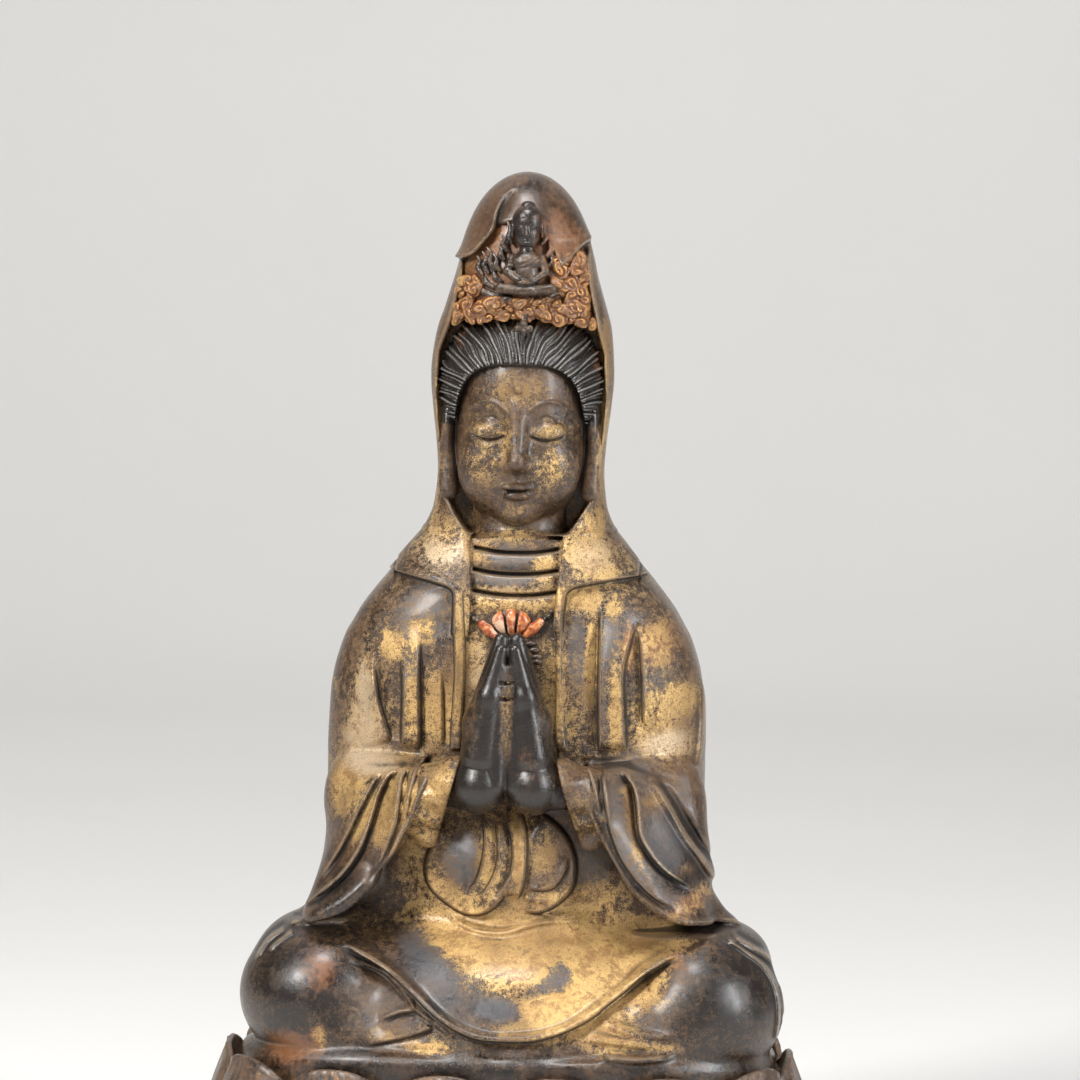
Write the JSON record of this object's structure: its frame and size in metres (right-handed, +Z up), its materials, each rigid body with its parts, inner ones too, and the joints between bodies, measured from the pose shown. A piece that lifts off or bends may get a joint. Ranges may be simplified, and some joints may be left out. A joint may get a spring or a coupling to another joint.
{
  "type": "seated praying guanyin figure",
  "caption": "Seated hooded Guanyin in bronze with praying hands and a crown with a small seated figure, on a low lotus plinth.",
  "frame": {"origin": "middle of the plinth's flat underside", "axes": "+Z up along the figure, -Y the way that the figure faces, +X to the figure's left hand"},
  "size_m": [0.2118, 0.142, 0.3627],
  "materials": {
    "gilt_bronze": "dark lacquered bronze with worn gilding",
    "worn_bronze": "dull grey-brown bronze with rubbed petal rims"
  },
  "bodies": {
    "root": {"guanyin_figure": "gilt_bronze", "lotus_plinth": "worn_bronze"}
  },
  "joints": []
}
